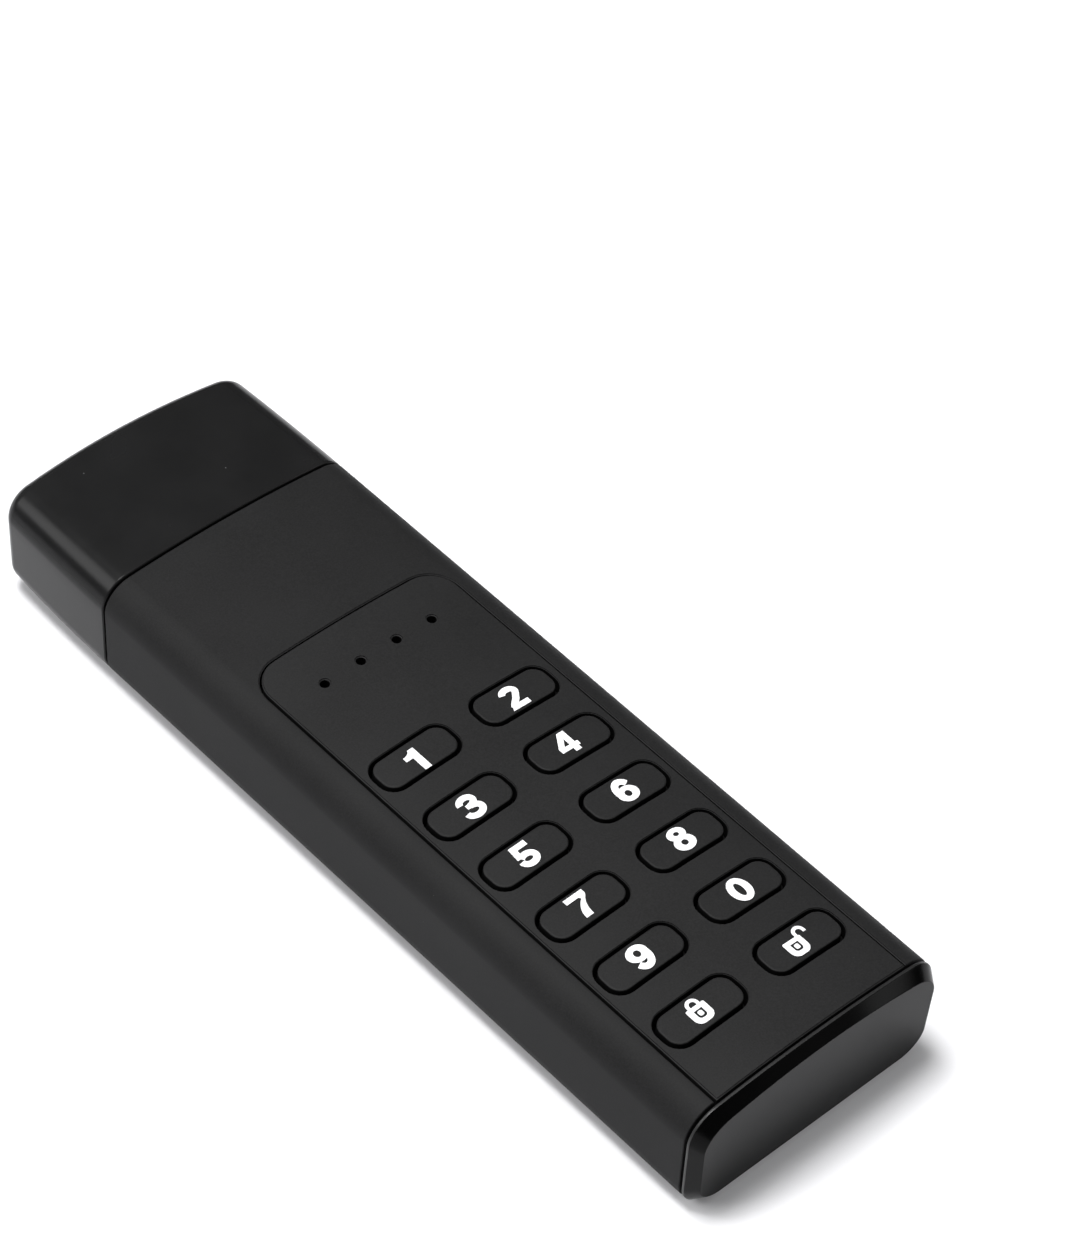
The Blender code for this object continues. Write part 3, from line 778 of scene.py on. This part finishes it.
def stroke(path, half=STROKE):
    """The outline of a line of points drawn with a broad pen."""
    left, right = [], []
    for index, point in enumerate(path):
        before = path[max(index - 1, 0)]
        after = path[min(index + 1, len(path) - 1)]
        along = Vector((after[0] - before[0], after[1] - before[1])).normalized()
        left.append((point[0] - along.y * half, point[1] + along.x * half))
        right.append((point[0] + along.y * half, point[1] - along.x * half))
    return left + list(reversed(right))


def digit_0():
    return [ellipse((0, 0), 1.13, 1.4)], [ellipse((0, 0), 0.38, 0.80)]


def digit_1():
    flag = arc((-0.72, 1.52), (0.92, 0.64), -35, -90, 5)
    stem = [(0.0, -1.38), (0.76, -1.38), (0.76, 1.36), (0.12, 1.36)]
    return [stem + flag + [(-0.76, 0.86), (-0.76, 0.36), (0.0, 0.36)]], []


def digit_2():
    bowl = arc((0.0, 0.62), (0.72, 0.47), 178, -30, 16)
    slope = stroke(bowl + [(0.15, -0.25), (-0.45, -0.78), (-0.72, -1.1)])
    foot = [(-1.08, -1.4), (1.06, -1.4), (1.06, -0.8), (-0.75, -0.8)]
    return [slope, foot], []


def digit_3():
    upper = stroke(arc((-0.06, 0.61), (0.72, 0.52), 185, -90, 18), 0.32)
    lower = stroke(arc((-0.02, -0.53), (0.84, 0.60), 90, -180, 18), 0.33)
    return [upper, lower, [(-0.45, -0.16), (-0.02, -0.20), (-0.02, 0.36), (-0.45, 0.32)]], []


def digit_4():
    body = [(0.14, -1.33), (0.80, -1.33), (0.80, -0.86), (1.08, -0.86), (1.08, -0.34), (0.80, -0.34)]
    body += [(0.80, 1.33), (0.02, 1.33), (-1.08, -0.26), (-1.08, -0.86), (0.14, -0.86)]
    return [body], [[(0.16, -0.35), (0.16, 0.50), (-0.44, -0.35)]]


def digit_5():
    bar = [(-0.92, 0.80), (0.92, 0.80), (0.92, 1.4), (-0.86, 1.4)]
    side = [(-1.0, -0.12), (-0.38, -0.12), (-0.22, 1.3), (-0.86, 1.4)]
    bowl = stroke(arc((-0.04, -0.50), (0.78, 0.58), 142, -184, 20))
    return [bar, side, bowl], []


def digit_6():
    back = stroke(arc((0.02, 0.02), (0.78, 1.07), 30, 215, 22), 0.34)
    outer, hole = ellipse((0.02, -0.48), 1.11, 0.92), ellipse((0.02, -0.47), 0.35, 0.38)
    return [back, outer], [hole]


def digit_7():
    bar_end = [(-1.08, 1.35), (-1.08, 0.78), (0.30, 0.78)]
    inner = arc((1.7, -1.35), (2.34, 2.25), 123, 180, 7)
    outer = arc((1.6, -1.35), (1.42, 2.2), 180, 118, 7)
    return [bar_end + inner + outer + [(1.08, 0.85), (1.08, 1.35)]], []


def digit_8():
    adds = [ellipse((0, 0.66), 1.0, 0.75), ellipse((0, -0.52), 1.13, 0.90)]
    return adds, [ellipse((0, 0.68), 0.30, 0.24), ellipse((0, -0.50), 0.35, 0.33)]


def digit_9():
    adds, cuts = digit_6()
    turned = [[(-x, -y) for x, y in outline] for outline in adds + cuts]
    return turned[: len(adds)], turned[len(adds) :]


def padlock_body(x):
    """The lock's body with a keyhole plate cut in it, and the plate's own middle."""
    shield = arc((x + 0.30, -0.63), 0.75, 0, -90, 6) + arc((x - 0.30, -0.63), 0.75, -90, -180, 6)
    shield += arc((x - 0.90, 0.37), 0.15, 180, 90, 3) + arc((x + 0.90, 0.37), 0.15, 90, 0, 3)
    plate = arc((x + 0.12, -0.53), 0.34, 0, -90, 5) + arc((x - 0.12, -0.53), 0.34, -90, -180, 5)
    plate += [(x - 0.46, 0.08), (x + 0.46, 0.08)]
    dot = rounded_rectangle(0.48, 0.54, 0.14, (x, -0.36), 3)
    return shield, plate, dot


def padlock_closed():
    shield, plate, dot = padlock_body(0.0)
    path = [(SHACKLE_RADIUS, 0.3)] + arc((0.0, 0.68), SHACKLE_RADIUS, 0, 180, 14) + [(-SHACKLE_RADIUS, 0.3)]
    return [shield, stroke(path, SHACKLE_STROKE)], [plate], [dot]


def padlock_open():
    shield, plate, dot = padlock_body(-0.60)
    path = [(0.14, 0.3)] + arc((0.66, 0.72), SHACKLE_RADIUS, 180, 0, 12) + [(1.18, 0.52)]
    return [shield, stroke(path, SHACKLE_STROKE)], [plate], [dot]


DIGITS = (digit_0, digit_1, digit_2, digit_3, digit_4, digit_5, digit_6, digit_7, digit_8, digit_9)
LEGENDS = {str(value): digit for value, digit in enumerate(DIGITS)}
LEGENDS.update(lock=padlock_closed, unlock=padlock_open)


def ink_layer(shape, x, y, adds, cuts):
    """A thin layer of ink over a region of a key's crowned top."""
    points, triangles = region(adds, cuts)
    edges = {}
    for side, height in ((1, KEY_PROUD + INK), (-1, KEY_PROUD - INK)):
        corners = [shape.verts.new((x + u, y + v, top_z(x + u) + height)) for u, v in points]
        for triangle in triangles:
            shape.faces.new([corners[index] for index in (triangle if side > 0 else triangle[::-1])])
            if side < 0:
                continue
            for first, second in zip(triangle, triangle[1:] + triangle[:1]):
                key = (second, first)
                if key in edges:
                    del edges[key]
                else:
                    edges[(first, second)] = True
        if side > 0:
            tops = corners
    for first, second in edges:
        shape.faces.new((tops[second], tops[first], corners[first], corners[second]))


def make_legend(name, x, y, materials):
    """A key's printed digit or padlock. A padlock has a third part, the dot inside its plate."""
    adds, cuts, *dots = LEGENDS[name]()
    shape = bmesh.new()
    ink_layer(shape, x, y, adds, cuts)
    for dot in dots:
        ink_layer(shape, x, y, dot, [])
    for vertex in list(shape.verts):
        if not vertex.link_faces:
            shape.verts.remove(vertex)
    make_piece("legend_" + name, shape, materials["ink"], "key_%s_body" % name)


def make_keypad(materials):
    for name, x, y in key_places():
        make_key(name, x, y, materials)
        across, along = LEGEND_SHIFTS[name]
        make_legend(name, x + across, y + along, materials)


# -------- tail, nose and cap


def ring_at(y, inset, highest=None):
    return [(x, y, z) for x, z in full_section(inset, highest)]


def tail_ring(y, inward):
    """A ring of the tail: nought inward is the body's section, and one is the end face's outline."""
    ring = []
    for x, z in full_section():
        up = z / THICKNESS
        fall = BEZEL_MIDDLE + (BEZEL - BEZEL_MIDDLE) * (2 * x / WIDTH) ** 2
        z += inward * (BEZEL * (1 - up) - fall * up)
        ring.append((x * (1 - inward * 2 * BEZEL_SIDE / WIDTH), y, z))
    return ring


def make_tail(materials):
    """The tail cap: a spigot, a short satin side, a polished chamfer and a flat end."""
    spigot_inset = WALL + GAP
    seam_y = TAIL_SEAM_Y - GAP
    highest = PANEL_LOW.z - GAP
    spigot_edge = 0.3
    spigot = [
        ring_at(TAIL_HIGH.y, spigot_inset + spigot_edge, highest - spigot_edge),
        ring_at(TAIL_HIGH.y - spigot_edge, spigot_inset, highest),
        ring_at(seam_y, spigot_inset, highest),
    ]
    side = [tail_ring(seam_y - along, away / BEZEL) for away, along in quarter(EDGE)]
    # The chamfer, with a softened corner at each end: a quarter turn, halved by the slope.
    # The corners are worked out as for a slope of 45 degrees, which the chamfer has where it falls most.
    soft = 0.16
    run = soft * math.tan(math.radians(22.5))
    steps = 8
    chamfer = []
    for step in range(steps + 1):
        angle = math.radians(90 * step / steps)
        if step <= steps / 2:
            y = TAIL_Y + BEZEL + run - soft * math.sin(angle)
            chamfer.append(tail_ring(y, soft * (1 - math.cos(angle)) / BEZEL))
        if step >= steps / 2:
            inset = BEZEL + run - soft * math.cos(angle)
            chamfer.append(tail_ring(TAIL_Y + soft * (1 - math.sin(angle)), inset / BEZEL))
    rows = spigot + side + chamfer
    shape = bmesh.new()
    sheet(shape, rows, closed=True)
    polygon(shape, rows[0])
    polygon(shape, rows[-1])
    made = make_piece("tail", shape, materials["tail_gloss"], "housing", ["tail_cap"])
    made.data.materials.append(materials["tail_side"])
    chamfer_start = (TAIL_Y + BEZEL) * MM
    for face in made.data.polygons:
        face.material_index = 1 if face.center.y > chamfer_start else 0


def holed_face(shape, y, outline, hole):
    """A flat face across the stick, with a hole in it."""
    fill(shape, lambda u, v: (u, y, v), [outline], [hole])


def plug_hole(clearance, grow=0.0):
    """An opening round the plug, across X and Z."""
    width = PLUG_HIGH.x - PLUG_LOW.x + 2 * clearance + 2 * grow
    height = PLUG_HIGH.z - PLUG_LOW.z + 2 * clearance + 2 * grow
    return rounded_rectangle(width, height, PLUG_CORNER + grow, (0.0, PLUG_MIDDLE_Z), 6)


def line_hole(shape, mouth_y, far_y, clearance, edge):
    """The sides of an opening round the plug, from the rounded edge of its mouth to its far end."""
    inward = 1 if far_y > mouth_y else -1
    rings = [(mouth_y + inward * (edge - away), edge - along) for away, along in reversed(quarter(edge))]
    rings.append((far_y, 0.0))
    rows = [[(x, y, z) for x, z in plug_hole(clearance, grow)] for y, grow in rings]
    sheet(shape, rows, closed=True)


def make_nose(materials):
    """The nose: a plate round the plug, with the short lip that the cap fits over."""
    inset = WALL + GAP
    edge = 0.2
    shape = bmesh.new()
    rows = [ring_at(NOSE_LOW.y, inset)]
    rows += [ring_at(NOSE_HIGH.y - along, inset + away) for away, along in reversed(quarter(edge))]
    sheet(shape, rows, closed=True)
    line_hole(shape, NOSE_HIGH.y, NOSE_LOW.y, GAP, edge)
    holed_face(shape, NOSE_HIGH.y, full_section(inset + edge), plug_hole(GAP, edge))
    holed_face(shape, NOSE_LOW.y, full_section(inset), plug_hole(GAP))
    make_piece("nose", shape, materials["nose"], "housing", ["nose_collar"])


def cap_ring(y, inset, share=1.0):
    """A ring of the cap: the body's section, narrowing and bowing as it nears the tip."""
    nearness = max(y - SPLIT_Y, 0.0) / (TIP_Y - SPLIT_Y)
    taper = nearness * nearness
    narrow = 1 - taper * 2 * CAP_NARROWING / WIDTH
    middle_z = THICKNESS / 2
    ring = []
    for x, z in full_section(inset):
        up = z / THICKNESS
        z += taper * (CAP_RISE * (1 - up) - CAP_FALL * up)
        x *= share * narrow
        z = middle_z + (z - middle_z) * share
        ring.append((x, y - taper * CAP_BULGE * (2 * x / WIDTH) ** 2, z))
    return ring


def cap_rows(inset, mouth_y, tip_y, edge):
    """Rings from the mouth to the eased edge and across the bowed tip."""
    run = tip_y - edge - mouth_y
    rows = [cap_ring(mouth_y + run * step / 12, inset) for step in range(12)]
    rows += [cap_ring(tip_y - along, inset + away) for away, along in reversed(quarter(edge, 12))]
    rows += [cap_ring(tip_y, inset + edge, share) for share in (0.85, 0.7, 0.55, 0.4, 0.25, 0.1)]
    return rows


def make_cap(materials):
    """The cap's gloss shell, closed at its bowed tip and open at its mouth."""
    mouth_y = CAP_LOW.y
    soft = 0.18
    outer = cap_rows(0.0, mouth_y + soft, TIP_Y, CAP_EDGE)
    lip = [cap_ring(mouth_y + along, away) for away, along in quarter(soft, 4)]
    inner = cap_rows(CAP_WALL, mouth_y, TIP_Y - CAP_WALL, CAP_EDGE / 2)
    shape = bmesh.new()
    sheet(shape, lip[:-1] + outer, closed=True)
    sheet(shape, [lip[0]] + inner, closed=True)
    for rows, tip_y in ((outer, TIP_Y), (inner, TIP_Y - CAP_WALL)):
        fan(shape, rows[-1], (0.0, tip_y, THICKNESS / 2))
    make_piece("cap", shape, materials["cap_gloss"], "cap", ["cap_shell"])


def make_liner(materials):
    """The block inside the cap, with the slot that grips the plug."""
    clearance = 0.35
    edge = 0.25
    inset = CAP_WALL + GAP
    steps = 8
    run = LINER_HIGH.y - LINER_LOW.y
    rows = [cap_ring(LINER_LOW.y + along, inset + away) for away, along in quarter(edge)]
    rows += [
        cap_ring(LINER_LOW.y + edge + (run - edge) * step / steps, inset)
        for step in range(1, steps + 1)
    ]
    shape = bmesh.new()
    sheet(shape, rows, closed=True)
    slot_end = LINER_HIGH.y - CAP_BULGE
    line_hole(shape, LINER_LOW.y, slot_end, clearance, edge)
    holed_face(shape, LINER_LOW.y, [(x, z) for x, _, z in rows[0]], plug_hole(clearance, edge))
    # The bowed back, whose outline keeps the last ring's bow
    bowed = {(round(x, 4), round(z, 4)): y for x, y, z in rows[-1]}

    def back(u, v):
        return (u, bowed.get((round(u, 4), round(v, 4)), slot_end), v)

    fill(shape, back, [[(x, z) for x, _, z in rows[-1]]], [plug_hole(clearance)])
    make_piece("liner", shape, materials["liner"], "cap", ["cap_liner"])


# -------- plug


def plug_path(inset):
    """The plug's outline across X and Z, with a point at each side of its windows."""
    half_x = (PLUG_HIGH.x - PLUG_LOW.x) / 2 - inset
    half_z = (PLUG_HIGH.z - PLUG_LOW.z) / 2 - inset
    radius = PLUG_CORNER - inset
    stops = [side * WINDOW_X + way * WINDOW_WIDTH / 2 for side in (-1, 1) for way in (-1, 1)]
    points = []
    for sign, start in ((1, 0), (-1, 180)):
        right = (sign * (half_x - radius), PLUG_MIDDLE_Z + sign * (half_z - radius))
        left = (-right[0], right[1])
        points += arc(right, radius, start, start + 90, 6)
        points += [(-sign * x, PLUG_MIDDLE_Z + sign * half_z) for x in stops]
        points += arc(left, radius, start + 90, start + 180, 6)
    return points


def make_plug_shell(materials):
    """The folded shell: rounded lips at its mouth, and two windows through each broad side."""
    tip, back = PLUG_HIGH.y, PLUG_LOW.y
    near, far = tip - WINDOW_SETBACK, tip - WINDOW_SETBACK - WINDOW_LENGTH
    lip = PLUG_WALL / 2
    mouth = 2.0
    stations = [back, (back + far) / 2, far, near, tip - mouth, tip - lip]
    shape = bmesh.new()
    path = plug_path(0.0)

    def in_window(first, second, y0, y1):
        inside_x = abs(abs((first[0] + second[0]) / 2) - WINDOW_X) < WINDOW_WIDTH / 2
        return inside_x and first[1] == second[1] and y0 == far and y1 == near

    inner_path = plug_path(PLUG_WALL)
    for side_path in (path, inner_path):
        for y0, y1 in zip(stations, stations[1:]):
            for index, first in enumerate(side_path):
                second = side_path[(index + 1) % len(side_path)]
                if in_window(first, second, y0, y1):
                    continue
                polygon(
                    shape,
                    [(first[0], y0, first[1]), (second[0], y0, second[1])]
                    + [(second[0], y1, second[1]), (first[0], y1, first[1])],
                )
    # The rounded lip
    rows = []
    steps = 8
    for step in range(steps + 1):
        angle = math.radians(180 * step / steps)
        inset = lip * (1 - math.cos(angle))
        rows.append([(x, tip - lip + lip * math.sin(angle), z) for x, z in plug_path(inset)])
    sheet(shape, rows, closed=True)
    sheet(shape, [[(x, back, z) for x, z in each] for each in (path, inner_path)], closed=True)
    # The windows' edges
    for side in (-1, 1):
        for up in (-1, 1):
            low_x, high_x = side * WINDOW_X - WINDOW_WIDTH / 2, side * WINDOW_X + WINDOW_WIDTH / 2
            corners = ((low_x, far), (high_x, far), (high_x, near), (low_x, near))
            half = PLUG_HIGH.z - PLUG_MIDDLE_Z
            rows = [
                [(x, y, PLUG_MIDDLE_Z + up * height) for x, y in corners]
                for height in (half, half - PLUG_WALL)
            ]
            sheet(shape, rows, closed=True)
    make_piece("plug", shape, materials["plug"], "housing", ["plug_shell"])


def slab(name, node, radius, edge, material, body):
    """A block with the CAD node's size, rounded corners in plan and eased edges all round."""
    low, high = box_mm(node)
    size = high - low
    centre = ((low.x + high.x) / 2, (low.y + high.y) / 2)

    def ring(away, z):
        outline = rounded_rectangle(size.x - 2 * away, size.y - 2 * away, radius - away / 2, centre, 4)
        return [(x, y, z) for x, y in outline]

    rows = [ring(away, low.z + along) for away, along in quarter(edge)]
    rows += [ring(away, high.z - along) for away, along in reversed(quarter(edge))]
    shape = bmesh.new()
    sheet(shape, rows, closed=True)
    polygon(shape, rows[0])
    polygon(shape, rows[-1])
    make_piece(name, shape, material, body, [node])


def make_plug_inside(materials):
    slab("tongue", "plug_tongue", 0.25, 0.15, materials["tongue"], "housing")
    for prefix, count in (("usb_contact_", 4), ("usb_rear_contact_", 5)):
        for number in range(1, count + 1):
            node = prefix + str(number)
            slab(node + "_strip", node, 0.2, 0.06, materials["gold"], "housing")


# -------- inside


def dress_inside(materials):
    """Procedural finishes for the CAD nodes that show as they are."""
    finishes = {"inner_frame": "frame", "circuit_board": "board"}
    finishes.update(crystal="crystal", light_guide="guide")
    packages = ("controller_chip", "encryption_chip", "flash_chip_1", "flash_chip_2")
    packages += ("voltage_regulator", "power_inductor")
    finishes.update({node: "package" for node in packages})
    finishes.update({"board_screw_%d" % number: "screw" for number in (1, 2)})
    finishes.update({"status_light_%d" % number: "light" for number in range(1, 5)})
    finishes.update({"switch_" + name: "switch" for names in KEY_ROWS for name in names})
    for node, finish in finishes.items():
        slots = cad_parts[node].data.materials
        slots.clear()
        slots.append(materials[finish])


# -------- studio

CAMERA_PLACE = Vector((-0.17446, -0.17840, 0.28681))
CAMERA_TARGET = Vector((0.01815, 0.00809, 0.00645))
CAMERA_ROLL = 5.23
CAMERA_LENS = 118.36
CAMERA_CLIP = 0.01

FLOOR_SIZE = 1.6
BRIGHT_SIDE = Vector((-0.12, 0.45, 0.885))  # the direction that the surround is brightest in
BRIGHT_START = 0.45  # how far a direction agrees with that one before the surround brightens
SURROUND_DIM = 0.04
SURROUND_BRIGHT = 0.40
BACKDROP = 0.95
LIGHT_TARGET = (0.0, -0.005, 0.0)
LIGHTS = {  # each light's place, width and length, power, and whether gloss shows it
    "overhead": ((-0.12, 0.26, 1.28), (0.44, 0.44), 17.6, True),
    "left_bank": ((-0.92, 0.72, 0.92), (0.92, 0.80), 11.2, True),
    "right_card": ((0.40, -0.245, 0.38), (0.20, 0.20), 0.32, True),
    "front_fill": ((0.10, -0.45, 0.20), (0.50, 0.30), 0.85, False),
}


def looking(place, target, roll=0.0):
    """The matrix of something at a place that faces a target, with its top up."""
    aim = (target - place).to_track_quat("-Z", "Y").to_matrix().to_4x4()
    return Matrix.Translation(place) @ aim @ Matrix.Rotation(math.radians(roll), 4, "Z")


def make_camera():
    camera = add_object("camera", bpy.data.cameras.new("camera"))
    camera.data.lens = CAMERA_LENS
    camera.data.clip_start = CAMERA_CLIP
    camera.matrix_world = looking(CAMERA_PLACE, CAMERA_TARGET, CAMERA_ROLL)
    bpy.context.scene.camera = camera


def area_light(name, place, size, power, glossy):
    light = bpy.data.lights.new(name, "AREA")
    light.shape = "RECTANGLE"
    light.size, light.size_y = size
    light.energy = power
    lamp = add_object(name, light)
    lamp.matrix_world = looking(Vector(place), Vector(LIGHT_TARGET))
    lamp.visible_camera = False
    lamp.visible_glossy = glossy


def make_floor():
    """A plain pale floor that the stick lies on."""
    shape = bmesh.new()
    half = FLOOR_SIZE / 2
    steps = 8
    edge = [half * (2 * step / steps - 1) for step in range(steps + 1)]
    sheet(shape, [[(x, y, 0.0) for x in edge] for y in edge])
    mesh = bpy.data.meshes.new("floor")
    shape.to_mesh(mesh)
    shape.free()
    floor = add_object("floor", mesh)
    surface = Surface("floor_paint")
    surface.set(Roughness=0.9, Specular_IOR_Level=0.0)
    cloud = surface.noise(4.0, 2.0)
    surface.paint(surface.blend(cloud, grey(0.86), grey(0.88)))
    mesh.materials.append(surface.material)


def make_world():
    """A dim surround that brightens overhead and behind, which the camera sees as a pale backdrop."""
    world = bpy.data.worlds.new("studio")
    bpy.context.scene.world = world
    world.use_nodes = True
    tree = world.node_tree
    surround = tree.nodes["Background"]
    surround.inputs["Color"].default_value = (1.0, 1.0, 1.0, 1.0)
    direction = tree.nodes.new("ShaderNodeTexCoord").outputs["Generated"]
    agreement = tree.nodes.new("ShaderNodeVectorMath")
    agreement.operation = "DOT_PRODUCT"
    agreement.inputs[1].default_value = BRIGHT_SIDE
    likeness = agreement.outputs["Value"]
    strength = map_range(tree, likeness, BRIGHT_START, 1.0, SURROUND_DIM, SURROUND_BRIGHT)
    tree.links.new(direction, agreement.inputs[0])
    tree.links.new(strength, surround.inputs["Strength"])
    backdrop = tree.nodes.new("ShaderNodeBackground")
    backdrop.inputs["Strength"].default_value = BACKDROP
    chooser = tree.nodes.new("ShaderNodeMixShader")
    path = tree.nodes.new("ShaderNodeLightPath")
    tree.links.new(path.outputs["Is Camera Ray"], chooser.inputs["Fac"])
    tree.links.new(surround.outputs["Background"], chooser.inputs[1])
    tree.links.new(backdrop.outputs["Background"], chooser.inputs[2])
    tree.links.new(chooser.outputs["Shader"], tree.nodes["World Output"].inputs["Surface"])


def make_lights():
    for name, (place, size, power, glossy) in LIGHTS.items():
        area_light(name, place, size, power, glossy)


def make_studio():
    bpy.context.scene.view_settings.view_transform = "Standard"
    make_camera()
    make_floor()
    make_world()
    make_lights()


# -------- main


def main():
    materials = make_materials()
    make_studio()
    make_sleeve(materials)
    make_panel(materials)
    make_keypad(materials)
    make_tail(materials)
    make_nose(materials)
    make_cap(materials)
    make_liner(materials)
    make_plug_shell(materials)
    make_plug_inside(materials)
    dress_inside(materials)


main()
